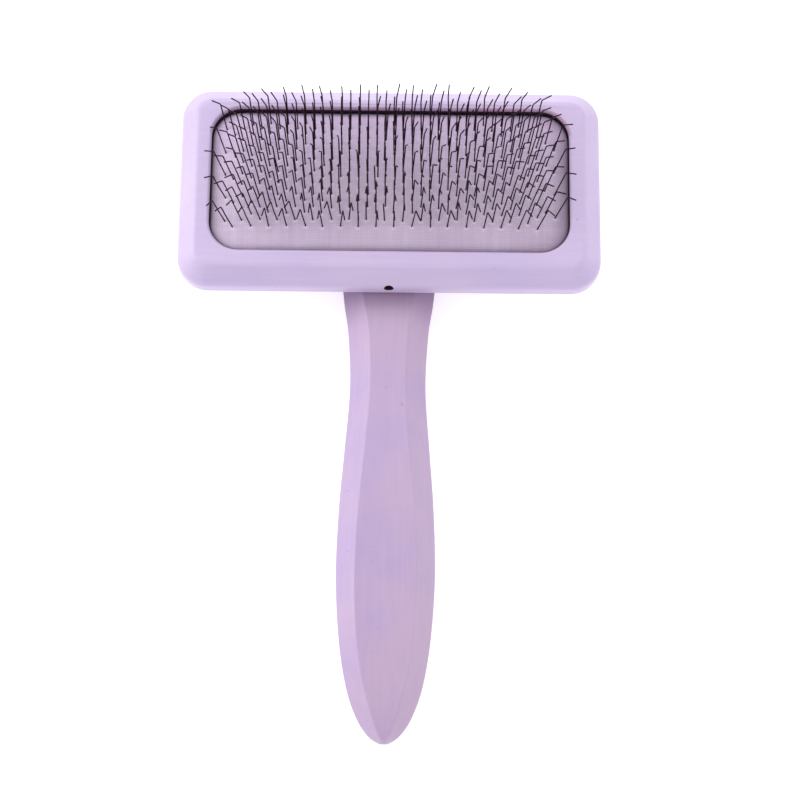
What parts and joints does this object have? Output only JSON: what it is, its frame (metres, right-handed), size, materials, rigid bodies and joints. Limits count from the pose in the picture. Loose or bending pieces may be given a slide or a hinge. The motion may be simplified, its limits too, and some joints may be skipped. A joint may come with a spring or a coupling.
{
  "type": "slicker brush",
  "caption": "Painted wooden slicker brush: rectangular head with a crowned cloth-faced cushion of fine bent wires, and an eight-sided tapering handle.",
  "frame": {"origin": "middle of the footprint on the surface that the brush lies on, wires up", "axes": "+Z out of the wire face, +Y from the handle's end to the head's far edge, +X across the head"},
  "size_m": [0.1196, 0.185, 0.0386],
  "materials": {
    "lilac_paint": "satin lilac paint over wood",
    "bare_beech": "bare turned beech",
    "black_rubber": "matt black rubber",
    "pale_cloth": "plain-weave cotton, pale lilac white",
    "dark_steel": "dark drawn steel wire"
  },
  "bodies": {
    "brush_body": {"head_block": "lilac_paint", "handle": "lilac_paint", "handle_dowel": "bare_beech", "pad_flange": "black_rubber"},
    "cushion": {"pad_cloth": "pale_cloth", "pad_rubber": "black_rubber", "wire_row_01": "dark_steel", "wire_row_02": "dark_steel", "wire_row_03": "dark_steel", "wire_row_04": "dark_steel", "wire_row_05": "dark_steel", "wire_row_06": "dark_steel", "wire_row_07": "dark_steel", "wire_row_08": "dark_steel", "wire_row_09": "dark_steel", "wire_row_10": "dark_steel", "wire_row_11": "dark_steel", "wire_row_12": "dark_steel", "wire_row_13": "dark_steel", "wire_row_14": "dark_steel", "wire_row_15": "dark_steel", "wire_row_16": "dark_steel", "wire_row_17": "dark_steel", "wire_row_18": "dark_steel", "wire_row_19": "dark_steel"}
  },
  "joints": [
    {"name": "cushion_press", "type": "slide", "parent": "brush_body", "child": "cushion", "axis": [0, 0, 1], "range_m": [-0.002, 0], "stiffness_N_per_m": 1500}
  ]
}
